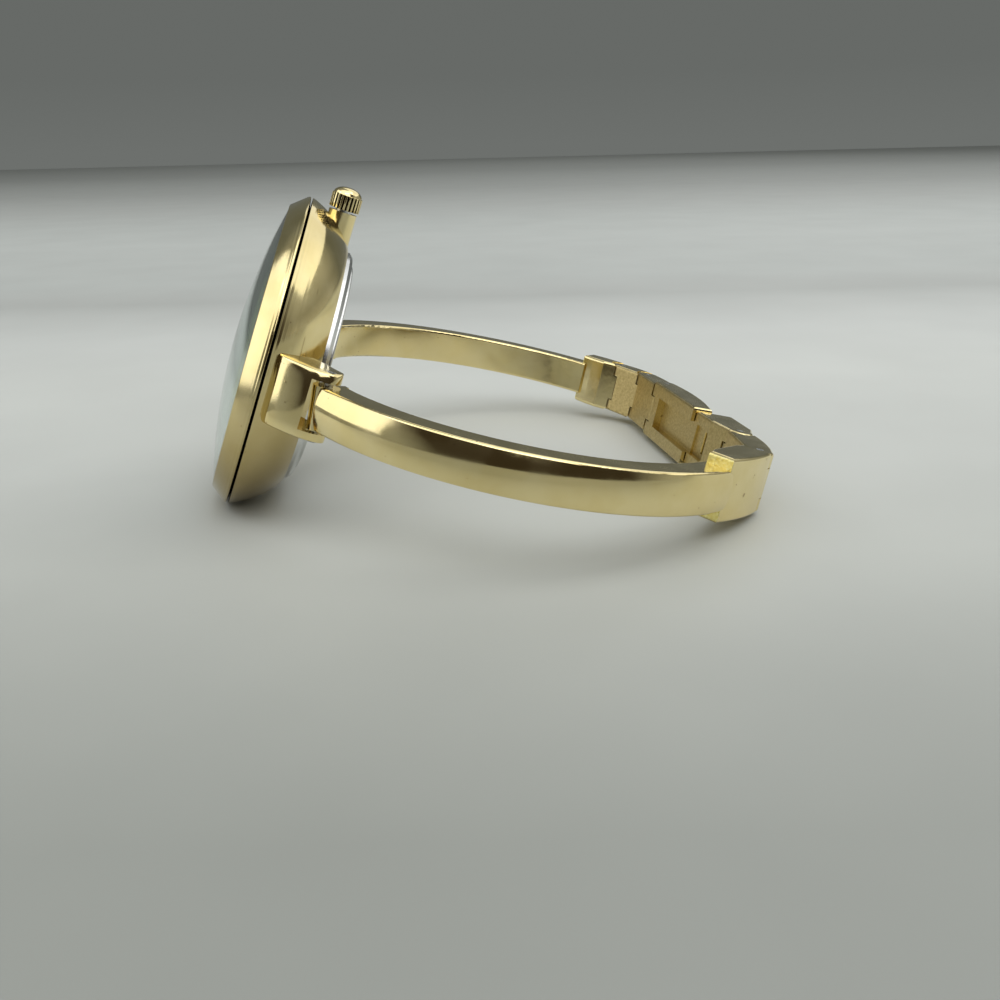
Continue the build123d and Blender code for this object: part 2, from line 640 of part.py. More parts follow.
def clasp_box():
    length, r = BOX_LENGTH, KNUCKLE_RADIUS
    low = -BOX_OUTER + BOX_CORNER
    outline = Polyline((0, r), (BOX_END_WALL, BOX_INNER), (length, BOX_INNER), (length, low))
    inset = BOX_CORNER * (1 - 1 / sqrt(2))
    corner = (length - inset, -BOX_OUTER + inset)
    outline += ThreePointArc((length, low), corner, (length - BOX_CORNER, -BOX_OUTER))
    outline += Polyline((length - BOX_CORNER, -BOX_OUTER), (BOX_END_WALL / 2, -BOX_OUTER), (0, -r))
    outline += ThreePointArc((0, -r), (-r, 0), (0, r))
    half = CLASP_HALF_WIDTH
    body = rounded(extrude(make_face(outline), half, both=True), LINK_EDGE)
    inside = half - BOX_SIDE
    opening = inside - BOX_LIP
    body -= slab(BOX_END_WALL, length, -BOX_OUTER + BOX_WALL, BOX_INNER - BOX_WALL, -inside, inside)
    window = slab(BOX_END_WALL, length + BOX_CORNER, 0, BOX_INNER, -opening, opening)
    body -= fillet(window.edges().filter_by(Axis.Y).group_by(Axis.X)[0], BOX_CORNER)
    body = ears(body, half)
    return Pos(*BOX_HINGE) * Rot(0, 0, 90) * body


def clasp_base():
    # The far half of the clasp, a link with a rounded outside and a pocket inside
    length, r, half = BASE_LENGTH, KNUCKLE_RADIUS, BASE_HALF_WIDTH
    crest = (BASE_BULGE_SHARE * length, -r - BASE_BULGE)
    outline = Polyline((0, r), (length, r), (length, -BASE_NOSE))
    outline += ThreePointArc((length, -BASE_NOSE), crest, (0, -r))
    outline += ThreePointArc((0, -r), (-r, 0), (0, r))
    body = rounded(extrude(make_face(outline), half, both=True), LINK_EDGE)
    body -= slab(BASE_POCKET_INSET, length, r - BASE_POCKET_DEPTH, r, -BASE_POCKET_HALF, BASE_POCKET_HALF)
    reach = CLASP_HALF_WIDTH - BOX_SIDE - TONGUE_CLEAR
    body -= slab(length - TONGUE_ROOT, length, TONGUE_LEVEL - LEAF_THICK, TONGUE_LEVEL, -reach, reach)
    return base_place() * ears(body, half)


def base_place():
    return Pos(*BASE_HINGE) * Rot(0, 0, 90)


def clasp_tongue():
    # A leaf that runs into the box, folds back at its tip and springs outwards
    root = BASE_LENGTH - TONGUE_ROOT
    tip = BASE_LENGTH + TONGUE_LENGTH
    turn = tip - TONGUE_TIP_RADIUS
    low = TONGUE_LEVEL - 2 * TONGUE_TIP_RADIUS
    bend = TONGUE_TIP_RADIUS - LEAF_THICK
    middle = TONGUE_LEVEL - TONGUE_TIP_RADIUS
    free = BASE_LENGTH + TONGUE_FREE
    under = TONGUE_LEVEL - LEAF_THICK
    outline = Polyline((turn, TONGUE_LEVEL), (root, TONGUE_LEVEL), (root, under), (turn, under))
    outline += ThreePointArc((turn, under), (turn + bend, middle), (turn, low + LEAF_THICK))
    outline += Line((turn, low + LEAF_THICK), (free, -TONGUE_REACH + LEAF_THICK))
    outline += Polyline((free, -TONGUE_REACH + LEAF_THICK), (free, -TONGUE_REACH), (turn, low))
    outline += ThreePointArc((turn, low), (tip, middle), (turn, TONGUE_LEVEL))
    half = CLASP_HALF_WIDTH - BOX_SIDE - TONGUE_CLEAR
    leaf = extrude(make_face(outline), half, both=True)
    slot = BASE_LENGTH + LEAF_SLOT_PLACE
    leaf -= slab(slot, slot + LEAF_SLOT_WIDTH, middle, TONGUE_LEVEL, -LEAF_SLOT_HALF, LEAF_SLOT_HALF)
    return base_place() * leaf


# Places: the band is turned at the lugs and the whole watch is then leaned over
band_turn = Pos(BAND_PIVOT, 0, 0) * Rot(0, -BAND_TILT, 0) * Pos(-BAND_PIVOT, 0, 0)
watch_turn = Pos(0, 0, LIFT) * Rot(0, degrees(LEAN), 0)


def far(piece):
    return mirror(piece, Plane.XZ)


def hinged_arm():
    # The arm in the watch frame, with the bore for the lug's pin
    bore = HINGE_PIN_RADIUS + PIN_RUN
    return band_turn * arm() - pillar(LUG_HINGE_X, -LUG_HINGE_Y, bore, -LUG_HALF_WIDTH, LUG_HALF_WIDTH)


watch = {
    "case_body": case_body(),
    "bezel": bezel(),
    "crystal": crystal(),
    "crystal_gasket": crystal_gasket(),
    "dial_ring": dial_ring(),
    "dial": dial(),
    "hour_markers": hour_markers(),
    "hour_hand": hour_hand(),
    "minute_hand": minute_hand(),
    "second_hand": second_hand(),
    "hour_wheel": hour_wheel(),
    "cannon_pinion": cannon_pinion(),
    "fourth_wheel": fourth_wheel(),
    "fifth_wheel": fifth_wheel(),
    "rotor": rotor(),
    "main_plate": main_plate(),
    "train_bridge": train_bridge(),
    "battery": battery(),
    "battery_strap": battery_strap(),
    "coil": coil(),
    "stator": stator(),
    "circuit_board": circuit_board(),
    "movement_ring": movement_ring(),
    "crown": crown(),
    "crown_stem": crown_stem(),
    "crown_tube": crown_tube(),
    "crown_gasket": crown_gasket(),
    "case_back": case_back(),
    "case_back_gasket": case_back_gasket(),
    "near_lug": lug(),
    "near_lug_pin": lug_pin(),
    "near_arm": hinged_arm(),
}
for name in ("lug", "lug_pin", "arm"):
    watch["far_" + name] = far(watch["near_" + name])

band = {
    "near_block": end_block(NEAR_BLOCK_LENGTH),
    "near_link": link(NEAR_BLOCK_END, BOX_HINGE),
    "near_block_pin": hinge_pin(NEAR_BLOCK_END, LINK_HALF_WIDTH),
    "box_pin": hinge_pin(BOX_HINGE, CLASP_HALF_WIDTH),
    "clasp_box": clasp_box(),
    "far_block": far(end_block(FAR_BLOCK_LENGTH)),
    "far_block_pin": far(hinge_pin(FAR_BLOCK_END, LINK_HALF_WIDTH)),
    "far_link_1": far(link(FAR_BLOCK_END, FAR_JOINT)),
    "far_link_pin": far(hinge_pin(FAR_JOINT, LINK_HALF_WIDTH)),
    "far_link_2": far(link(FAR_JOINT, BASE_HINGE)),
    "base_pin": far(hinge_pin(BASE_HINGE, BASE_HALF_WIDTH)),
    "clasp_base": far(clasp_base()),
    "clasp_tongue": far(clasp_tongue()),
}

pieces = {name: watch_turn * piece for name, piece in watch.items()}
pieces.update({name: watch_turn * band_turn * piece for name, piece in band.items()})

# The origin lies below the middle of the whole watch, on the table
bounds = Compound([solid for piece in pieces.values() for solid in piece.solids()]).bounding_box()
ORIGIN = Pos(-(bounds.min.X + bounds.max.X) / 2, -(bounds.min.Y + bounds.max.Y) / 2, 0)

os.makedirs("parts", exist_ok=True)
for name, piece in pieces.items():
    export_step(ORIGIN * piece, f"parts/{name}.step")
print("lean", round(degrees(LEAN), 3), "lift", round(LIFT, 3), "lowest", round(bounds.min.Z, 4))
print("size", bounds.size, "origin", ORIGIN.position)
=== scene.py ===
import json
from math import atan2, cos, pi, radians, sin

import bmesh
import bpy
from mathutils import Matrix, Vector


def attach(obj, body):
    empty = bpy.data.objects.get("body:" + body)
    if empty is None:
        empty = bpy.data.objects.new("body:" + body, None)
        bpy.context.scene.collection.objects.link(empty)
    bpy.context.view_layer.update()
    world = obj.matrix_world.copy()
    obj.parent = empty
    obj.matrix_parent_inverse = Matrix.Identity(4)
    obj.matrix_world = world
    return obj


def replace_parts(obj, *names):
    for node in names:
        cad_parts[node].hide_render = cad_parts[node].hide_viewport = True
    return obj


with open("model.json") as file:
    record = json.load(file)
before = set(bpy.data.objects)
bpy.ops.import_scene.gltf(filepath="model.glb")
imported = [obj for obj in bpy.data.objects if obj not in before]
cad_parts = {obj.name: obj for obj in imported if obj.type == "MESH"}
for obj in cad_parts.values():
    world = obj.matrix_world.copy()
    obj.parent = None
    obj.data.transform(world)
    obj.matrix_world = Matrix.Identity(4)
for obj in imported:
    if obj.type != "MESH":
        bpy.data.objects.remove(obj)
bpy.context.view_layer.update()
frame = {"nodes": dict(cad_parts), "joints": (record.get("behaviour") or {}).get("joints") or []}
nodes = frame["nodes"]
joints = {joint["name"]: joint for joint in frame["joints"]}
bpy.ops.object.select_all(action="DESELECT")

MM = 0.001

# Lengths are in millimetres where nothing else is said. In the watch's frame X runs from the groove to the
# case back, and Z up along the crown. The places along X of the second hand's joint and of the point
# round which the band leans from the watch:
TRAIN_FRONT = 2.125
BAND_PIVOT = 6.2

# In the band's frame: the centre of an arm's arc, and the place and turn in degrees of its end block
ARM_CENTRE = (27.796, 6.308)
BLOCK_START = (43.374, 25.055)
BLOCK_TURN = 39.725

# Bezel, with the heights from the groove's middle and the radii of its cone and lip, up to its bore
CASE_RADIUS = 17.2
GROOVE_HALF = 0.125
BEZEL_SIDES = 240
BEZEL_LAND = 0.12
BEZEL_STEPS = [(0.45, 17.1), (1.93, 15.83), (2.0, 15.74), (2.02, 15.68), (2.025, 15.6)]
BEZEL_ROUNDING = 0.06
FACING_FRONT = Matrix.Rotation(radians(-90), 4, "Y")

# Crown, with the heights of its dome's rings as shares of the dome
CROWN_PLACE = 3.45
CROWN_BASE = 17.1
CROWN_RADIUS = 1.62
CROWN_HEIGHT = 1.5
CROWN_DOME = 0.84
CROWN_STEP = 0.1
CROWN_BORE = 1.15
CROWN_BORE_DEPTH = 1.2
CROWN_ROUNDING = 0.03
DOME_SHARES = (0.25, 0.45, 0.62, 0.76, 0.87, 0.95)
FLUTES = 24
FLUTE_SIDES = 6
FLUTE_DEPTH = 0.2

# Lug, cast from a block whose outside and root lie at these distances from the watch's axis
LUG_BLOCK = (18.0, 14.0)
LUG_HALF = 3.53
LUG_SMOOTHING = 3
# Columns: a place along the lug, and how far its outside and its root are drawn from the axis there
LUG_COLUMNS = [
    (0.75, 17.25, 15.0), (1.6, 18.05, 14.6), (2.8, 18.85, 13.8), (4.3, 19.65, 13.6),
    (5.9, 19.8, 15.8), (6.8, 19.3, 17.0), (7.05, 18.7, 17.4),
]
# Rows: a place across the lug, and how far its outside falls away there
LUG_ROWS = [(LUG_HALF, 0.75), (3.3, 0.45), (1.9, 0.1)]
# The slot for the arm: where it begins, half its width, and the length and depth of its cutter
LUG_SLOT = 4.2
SLOT_HALF = 2.52
SLOT_CUTTER = (6.0, 12.0)

# Patterns of the finishes: the size of a patch or a grain, or the gap from one line or speck to the next.
# The dial's ray is an angle in radians, and the wire's waves are a scale at which they repeat each 0.12 mm.
HAZE_PATCH = 3.0
WAVE_PATCH = 1.6
HAIRLINE_GAP = 0.15
SCRATCH_GAP = 0.9
SCRATCH_LENGTH = 5.0
SPECK_GAP = 4 / 3
STREAK_GAP = 0.45
CAST_GRIT = 0.3
STEEL_PATCH = 2.5
STEEL_LINE_GAP = 0.2
GLASS_SMEAR = 6.0
WIRE_WAVES = 2.6
DIAL_RAY = 0.012

# Where each shade is whole and where it has faded: below the crown's radius, below its top, and past the
#  end face of a block. The groove's fades over a width, and the painted shade low on the case between heights
#  above the table.
FLUTE_SHADE = (0.12, 0.03)
TOP_SHADE = (0.05, 0.01)
END_SHADE = (0.03, 0.12)
GROOVE_SHADE = 0.02
LOW_SHADE_HEIGHTS = (6, 19)

# Floor, in metres: where its paper's painted light and shade begin and end, and the table's edge with its
# turn in degrees
PAINTED_TONES_START = -0.08
TABLE_EDGE = 0.19
PAINTED_TONES_END = 1.5
EDGE_HALF = 0.001
EDGE_TURN = 8.5
PAPER_MOTTLE = 0.03
FLOOR_SIZE = 6.0

# Camera, in millimetres and degrees, and the lamps' distance in metres
CAMERA_PLACE = (-15.711, -112.099, 37.124)
CAMERA_TURN = (70.4307, 1.2154, -9.8154)
LAMP_DISTANCE = 2.0

# A face looks along an axis where its normal has more than this share along it. The rest are distances
# within which points are merged, touch, or count as the same.
FACING = 0.9
MERGE = 0.0001
TOUCH = 0.001
CLOSE = 0.01


def frame_from(x, z, origin):
    # A frame from its X and Z directions, and its origin in metres
    place = Matrix((x, z.cross(x), z)).transposed().to_4x4()
    place.translation = origin
    return place


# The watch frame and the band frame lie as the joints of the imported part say
watch_x = Vector(joints["seconds_turn"]["axis"])
watch_z = Vector(joints["far_arm_hinge"]["axis"])
band_z = Vector(joints["box_hinge"]["axis"])
band_x = Vector((0, 1, 0)).cross(band_z)
watch_origin = Vector(joints["seconds_turn"]["pos_m"]) - watch_x * TRAIN_FRONT * MM
watch = frame_from(watch_x, watch_z, watch_origin)
band = frame_from(band_x, band_z, watch_origin + (watch_x - band_x) * BAND_PIVOT * MM)


def linear(text):
    # A hex colour as it looks on a screen, in the linear values that a shader takes
    parts = [int(text[place : place + 2], 16) / 255 for place in (1, 3, 5)]
    values = [part / 12.92 if part <= 0.04045 else ((part + 0.055) / 1.055) ** 2.4 for part in parts]
    return (*values, 1.0)


def fill(tree, socket, value):
    # Links an output, or a node's first output, to a socket, or fills it with a hex colour or a number
    if isinstance(value, bpy.types.Node):
        value = value.outputs[0]
    if isinstance(value, bpy.types.NodeSocket):
        tree.links.new(value, socket)
    elif isinstance(value, str):
        socket.default_value = linear(value)
    else:
        socket.default_value = value


def add(tree, kind, inputs=None, stops=(), **settings):
    # Adds a node with its settings, its links, and a ramp's stops: pairs of a place and a hex colour
    node = tree.nodes.new(kind)
    for name, value in settings.items():
        setattr(node, name, value)
    for name, value in (inputs or {}).items():
        fill(tree, node.inputs[name], value)
    if stops:
        elements = node.color_ramp.elements
        while len(elements) < len(stops):
            elements.new(0.5)
        for element, (place, colour) in zip(elements, stops):
            element.position = place
            element.color = linear(colour)
    return node


def new_material(name, metallic):
    material = bpy.data.materials.new(name)
    material.use_nodes = True
    tree = material.node_tree
    shader = tree.nodes["Principled BSDF"]
    shader.inputs["Metallic"].default_value = metallic
    return material, tree, shader


def place_in(tree, local):
    # Object coordinates in millimetres, as they are in a frame of the watch
    place = add(tree, "ShaderNodeTexCoord").outputs["Object"]
    turn = local.to_euler()
    settings = {"Vector": place, "Location": local.translation, "Rotation": turn, "Scale": (MM, MM, MM)}
    return add(tree, "ShaderNodeMapping", settings, vector_type="TEXTURE")


def lines_round(tree, place, axis, gap):
    # Noise that changes only across fine lines: round an axis, or along Y where there is none
    parts = add(tree, "ShaderNodeSeparateXYZ", {"Vector": place}).outputs
    if axis is None:
        across = add(tree, "ShaderNodeCombineXYZ", {"X": parts["X"], "Y": parts["Z"]})
    else:
        others = [name for name in "XYZ" if name != axis]
        flat = add(tree, "ShaderNodeCombineXYZ", {"X": parts[others[0]], "Y": parts[others[1]]})
        radius = add(tree, "ShaderNodeVectorMath", {0: flat}, operation="LENGTH").outputs["Value"]
        across = add(tree, "ShaderNodeCombineXYZ", {"X": radius, "Y": parts[axis]})
    return add(tree, "ShaderNodeTexNoise", {"Vector": across, "Scale": 1 / gap, "Detail": 3.0})


def finish_metal(tree, shader, haze, heights, rough):
    # Roughness that varies with the haze, and bumps: each a height, a depth in millimetres and a strength
    least, most = rough
    settings = {"Value": haze, "From Min": 0.3, "From Max": 0.7, "To Min": least, "To Max": most}
    fill(tree, shader.inputs["Roughness"], add(tree, "ShaderNodeMapRange", settings))
    normal = None
    for height, depth, strength in heights:
        settings = {"Height": height, "Distance": depth * MM, "Strength": strength}
        if normal:
            settings["Normal"] = normal
        normal = add(tree, "ShaderNodeBump", settings)
    fill(tree, shader.inputs["Normal"], normal)


def gold_plating(name, local, axis, special=None):
    # Polished brass under a thin plating of pale gold: a mirror with faint haze, hairlines, scratches
    # and specks. Hairlines are a few micrometres wide on the real one, and are drawn coarser to show.
    material, tree, shader = new_material(name, 1.0)
    place = place_in(tree, local)
    patches = add(tree, "ShaderNodeTexNoise", {"Vector": place, "Scale": 1 / HAZE_PATCH, "Detail": 3.0})
    rubbed = add(tree, "ShaderNodeMapRange", {"Value": patches, "From Min": 0.45, "From Max": 0.6})
    fine = lines_round(tree, place, axis, HAIRLINE_GAP)
    hairlines = add(tree, "ShaderNodeMath", {0: fine, 1: rubbed}, operation="MULTIPLY")
    coarse = lines_round(tree, place, axis, SCRATCH_GAP)
    scratches = add(tree, "ShaderNodeMapRange", {"Value": coarse, "From Min": 0.66, "From Max": 0.7})
    runs = add(tree, "ShaderNodeTexNoise", {"Vector": place, "Scale": 1 / SCRATCH_LENGTH, "Detail": 2.0})
    lengths = add(tree, "ShaderNodeMapRange", {"Value": runs, "From Min": 0.58, "From Max": 0.62})
    broken = add(tree, "ShaderNodeMath", {0: scratches, 1: lengths}, operation="MULTIPLY")
    cells = add(tree, "ShaderNodeTexVoronoi", {"Vector": place, "Scale": 1 / SPECK_GAP})
    settings = {"Value": cells, "From Min": 0.03, "From Max": 0.06, "To Min": 1.0, "To Max": 0.0}
    specks = add(tree, "ShaderNodeMapRange", settings)
    gold = add(tree, "ShaderNodeValToRGB", {"Fac": patches}, [(0.35, "#EAD79C"), (0.65, "#F1E0AA")])
    dusty = add(tree, "ShaderNodeMixRGB", {"Fac": specks, "Color1": gold, "Color2": "#8A5A32"})
    bare = add(tree, "ShaderNodeMath", {0: broken, 1: 0.7}, operation="MULTIPLY")
    colour = add(tree, "ShaderNodeMixRGB", {"Fac": bare, "Color1": dusty, "Color2": "#8F7440"})
    faint = add(tree, "ShaderNodeMath", {0: hairlines, 1: 0.3}, operation="MULTIPLY")
    haze = add(tree, "ShaderNodeMath", {0: patches, 1: faint}, operation="ADD")
    waves = add(tree, "ShaderNodeTexNoise", {"Vector": place, "Scale": 1 / WAVE_PATCH, "Detail": 2.0})
    heights = [(waves, 0.02, 0.25), (hairlines, 0.004, 0.35), (broken, 0.01, 0.4)]
    finish_metal(tree, shader, haze, heights, (0.07, 0.15))
    if special:
        special(tree, shader, place, colour)
    else:
        fill(tree, shader.inputs["Base Color"], colour)
    return material


def matt_and_painted_light(tree, shader, mask, polished, matt, rough):
    # Where the mask is 1 the polishing wheel never reached, and the surface is matt and rougher. In a hollow
    # the colour mixed in is painted shade, and on a block's end face it is partly painted light
    mixed = add(tree, "ShaderNodeMixRGB", {"Fac": mask, "Color1": polished, "Color2": matt})
    fill(tree, shader.inputs["Base Color"], mixed)
    smooth = shader.inputs["Roughness"].links[0].from_socket
    rougher = add(tree, "ShaderNodeMix", {"Factor": mask, "A": smooth, "B": rough})
    fill(tree, shader.inputs["Roughness"], rougher)


def cast_finish(tree, shader, place, colour, mask, low, high):
    # Where the mask is 1 the casting was plated as it came, which leaves a fine sandy grit
    grit = add(tree, "ShaderNodeTexNoise", {"Vector": place, "Scale": 1 / CAST_GRIT, "Detail": 4.0})
    matt = add(tree, "ShaderNodeValToRGB", {"Fac": grit}, [(0.3, low), (0.7, high)])
    matt_and_painted_light(tree, shader, mask, colour, matt, 0.42)
    smooth = shader.inputs["Normal"].links[0].from_socket
    height = add(tree, "ShaderNodeMath", {0: grit, 1: mask}, operation="MULTIPLY")
    settings = {"Height": height, "Distance": 0.1 * MM, "Strength": 0.6, "Normal": smooth}
    fill(tree, shader.inputs["Normal"], add(tree, "ShaderNodeBump", settings))


def painted_shade_in_hollows(tree, shader, colour, mask):
    # Where the mask is 1 a hollow is painted near black-brown as shade, with a rougher finish
    matt_and_painted_light(tree, shader, mask, colour, "#1E150A", 0.6)


def groove_round_case(tree, shader, place, colour):
    # Painted shade in the groove between the case and the bezel, with polishing streaks beside it, and
    # painted shade
    #  that grows towards the table
    across = add(tree, "ShaderNodeSeparateXYZ", {"Vector": place}).outputs["X"]
    away = add(tree, "ShaderNodeMath", {0: across}, operation="ABSOLUTE")
    standing = add(tree, "ShaderNodeTexCoord").outputs["Object"]
    height = add(tree, "ShaderNodeSeparateXYZ", {"Vector": standing}).outputs["Z"]
    full, none = (level * MM for level in LOW_SHADE_HEIGHTS)
    settings = {"Value": height, "From Min": full, "From Max": none, "To Min": 0.75, "To Max": 0.0}
    low = add(tree, "ShaderNodeMapRange", settings)
    # Painted shade: the case turns darker towards the table
    shaded_low = add(tree, "ShaderNodeMixRGB", {"Fac": low, "Color1": colour, "Color2": "#8A7648"})
    # Painted shade in the groove
    edge = GROOVE_HALF + GROOVE_SHADE
    settings = {"Value": away, "From Min": GROOVE_HALF, "From Max": edge, "To Min": 1.0, "To Max": 0.0}
    painted_shade_in_hollows(tree, shader, shaded_low, add(tree, "ShaderNodeMapRange", settings))
    settings = {"Value": away, "From Min": 0.3, "From Max": 1.8, "To Min": 1.0, "To Max": 0.0}
    beside = add(tree, "ShaderNodeMapRange", settings)
    streaks = lines_round(tree, place, "X", STREAK_GAP)
    raised = add(tree, "ShaderNodeMath", {0: streaks, 1: beside}, operation="MULTIPLY")
    smooth = shader.inputs["Normal"].links[0].from_socket
    settings = {"Height": raised, "Distance": 0.06 * MM, "Strength": 1.0, "Normal": smooth}
    fill(tree, shader.inputs["Normal"], add(tree, "ShaderNodeBump", settings))


def flutes_of_crown(tree, shader, place, colour):
    # Painted shade in the crown's flutes
    centred = add(tree, "ShaderNodeVectorMath", {0: place, 1: (CROWN_PLACE, 0, 0)}, operation="SUBTRACT")
    parts = add(tree, "ShaderNodeSeparateXYZ", {"Vector": centred}).outputs
    flat = add(tree, "ShaderNodeCombineXYZ", {"X": parts["X"], "Y": parts["Y"]})
    radius = add(tree, "ShaderNodeVectorMath", {0: flat}, operation="LENGTH").outputs["Value"]
    full, none = (CROWN_RADIUS - depth for depth in FLUTE_SHADE)
    settings = {"Value": radius, "From Min": full, "From Max": none, "To Min": 1.0, "To Max": 0.0}
    deep = add(tree, "ShaderNodeMapRange", settings)
    full, none = (CROWN_BASE + CROWN_HEIGHT - depth for depth in TOP_SHADE)
    settings = {"Value": parts["Z"], "From Min": full, "From Max": none, "To Min": 1.0, "To Max": 0.0}
    below = add(tree, "ShaderNodeMapRange", settings)
    mask = add(tree, "ShaderNodeMath", {0: deep, 1: below}, operation="MULTIPLY")
    painted_shade_in_hollows(tree, shader, colour, mask)


def inner_side(tree, shader, place, colour):
    # The side of the links towards the wrist was never polished
    normal = add(tree, "ShaderNodeTexCoord").outputs["Normal"]
    inward = add(tree, "ShaderNodeVectorMath", {0: normal, 1: -band_x}, operation="DOT_PRODUCT")
    settings = {"Value": inward.outputs["Value"], "From Min": 0.55, "From Max": 0.75}
    mask = add(tree, "ShaderNodeMapRange", settings)
    cast_finish(tree, shader, place, colour, mask, "#C0AA74", "#DCC992")


def end_face(side):
    # The face of an end block round the arm's end was never polished: its sandy grit is real, and its pale,
    # bright yellow is painted light on that face
    def finish(tree, shader, place, colour):
        turn = radians(BLOCK_TURN)
        ahead = Vector((cos(turn), -side * sin(turn), 0))
        face = ahead.dot(Vector((BLOCK_START[0], side * BLOCK_START[1], 0)))
        full, none = (face + depth for depth in END_SHADE)
        reach = add(tree, "ShaderNodeVectorMath", {0: place, 1: ahead}, operation="DOT_PRODUCT")
        along = reach.outputs["Value"]
        settings = {"Value": along, "From Min": full, "From Max": none, "To Min": 1.0, "To Max": 0.0}
        mask = add(tree, "ShaderNodeMapRange", settings)
        # A pale, bright yellow: painted light on the end face
        cast_finish(tree, shader, place, colour, mask, "#EFDC7C", "#FFF6B0")
    return finish


def steel(name, colour, local, axis, rough):
    # Stainless steel turned or drawn, grey with a satin grain, with its lines wider apart so that they show
    material, tree, shader = new_material(name, 1.0)
    place = place_in(tree, local)
    lines = lines_round(tree, place, axis, STEEL_LINE_GAP)
    patches = add(tree, "ShaderNodeTexNoise", {"Vector": place, "Scale": 1 / STEEL_PATCH, "Detail": 2.0})
    tone = add(tree, "ShaderNodeValToRGB", {"Fac": patches}, [(0.3, colour), (0.7, "#E2E3E1")])
    fill(tree, shader.inputs["Base Color"], tone)
    finish_metal(tree, shader, lines, [(lines, 0.01, 0.5)], rough)
    return material


def mineral_glass():
    # Clear mineral glass, polished: a faint green body, and a gloss with slight smears
    material, tree, shader = new_material("mineral glass", 0.0)
    place = place_in(tree, watch)
    smears = add(tree, "ShaderNodeTexNoise", {"Vector": place, "Scale": 1 / GLASS_SMEAR, "Detail": 3.0})
    settings = {"Value": smears, "From Min": 0.4, "From Max": 0.7, "To Min": 0.01, "To Max": 0.05}
    fill(tree, shader.inputs["Roughness"], add(tree, "ShaderNodeMapRange", settings))
    fill(tree, shader.inputs["Base Color"], "#DCE9E1")
    fill(tree, shader.inputs["Transmission Weight"], 1.0)
    fill(tree, shader.inputs["IOR"], 1.5)
    return material


def sunray_dial():
    # Silvered brass brushed in rays from the middle, under thin lacquer: pale, with a gleam that fans out
    material, tree, shader = new_material("silvered sunray dial", 0.7)
    parts = add(tree, "ShaderNodeSeparateXYZ", {"Vector": place_in(tree, watch)}).outputs
    angle = add(tree, "ShaderNodeMath", {0: parts["Y"], 1: parts["Z"]}, operation="ARCTAN2")
    ring = add(tree, "ShaderNodeCombineXYZ", {"X": angle})
    rays = add(tree, "ShaderNodeTexNoise", {"Vector": ring, "Scale": 1 / DIAL_RAY, "Detail": 3.0})
    tone = add(tree, "ShaderNodeValToRGB", {"Fac": rays}, [(0.3, "#D9D3C2"), (0.7, "#EFEAD9")])
    fill(tree, shader.inputs["Base Color"], tone)
    finish_metal(tree, shader, rays, [(rays, 0.01, 0.4)], (0.3, 0.42))
    fill(tree, shader.inputs["Coat Weight"], 0.5)
    return material


def speckled(name, low, high, metallic, rough, size):
    # A plain moulded, painted or sintered finish: even, with a soft sheen and a grain of the given size
    material, tree, shader = new_material(name, metallic)
    place = place_in(tree, watch)
    grain = add(tree, "ShaderNodeTexNoise", {"Vector": place, "Scale": 1 / size, "Detail": 4.0})
    tone = add(tree, "ShaderNodeValToRGB", {"Fac": grain}, [(0.3, low), (0.7, high)])
    fill(tree, shader.inputs["Base Color"], tone)
    finish_metal(tree, shader, grain, [(grain, 0.02, 0.5)], rough)
    return material


def wound_wire():
    # Enamelled copper wire of 0.12 mm, laid turn beside turn along Y: glossy brown ribs
    material, tree, shader = new_material("enamelled copper wire", 0.9)
    settings = {"Vector": place_in(tree, watch), "Scale": WIRE_WAVES, "Distortion": 0.3}
    wire = add(tree, "ShaderNodeTexWave", settings, bands_direction="Y").outputs["Fac"]
    tone = add(tree, "ShaderNodeValToRGB", {"Fac": wire}, [(0.1, "#6E2F14"), (0.7, "#C4683A")])
    fill(tree, shader.inputs["Base Color"], tone)
    finish_metal(tree, shader, wire, [(wire, 0.05, 0.8)], (0.25, 0.35))
    return material


def arm_frame(side):
    # The band frame moved to the middle of an arm's arc, so that lines run round it
    return band @ Matrix.Translation((ARM_CENTRE[0] * MM, side * ARM_CENTRE[1] * MM, 0))


case_gold = gold_plating("gold plating on the case", watch, "X", groove_round_case)
crown_gold = gold_plating("gold plating on the crown", watch, "Z", flutes_of_crown)
band_gold = gold_plating("gold plating on the links", band, None, inner_side)
lug_gold = gold_plating("gold plating on the lugs", watch, None)
small_gold = gold_plating("gold plating on small parts", watch, "X")
steel_round = steel("turned steel", "#D2D3D1", watch, "X", (0.16, 0.3))
steel_plain = steel("drawn steel", "#ABACAA", watch, None, (0.2, 0.34))
finishes = {
    "near_arm": gold_plating("gold plating on the near arm", arm_frame(-1), "Z"),
    "far_arm": gold_plating("gold plating on the far arm", arm_frame(1), "Z"),
    "near_block": gold_plating("gold plating on the near block", band, None, end_face(-1)),
    "far_block": gold_plating("gold plating on the far block", band, None, end_face(1)),
    "crystal": mineral_glass(),
    "crystal_gasket": speckled("nylon gasket", "#CFCABB", "#DDD8CA", 0.0, (0.4, 0.55), 0.4),
    "dial": sunray_dial(),
    "rotor": speckled("sintered magnet", "#2E2E30", "#4A4A4D", 0.8, (0.35, 0.5), 0.1),
    "coil": wound_wire(),
    "circuit_board": speckled("green solder mask", "#174B2A", "#22683B", 0.0, (0.25, 0.35), 0.5),
    "movement_ring": speckled("moulded acetal", "#DDDDD7", "#E9E9E4", 0.0, (0.4, 0.5), 0.6),
    "crown_gasket": speckled("nitrile rubber", "#101010", "#1F1F1F", 0.0, (0.5, 0.7), 0.2),
    "case_back_gasket": speckled("nitrile rubber ring", "#101010", "#1F1F1F", 0.0, (0.5, 0.7), 0.2),
    "case_back": steel_round,
    "battery": steel_round,
}
for name in ("case_body", "bezel", "dial_ring"):
    finishes[name] = case_gold
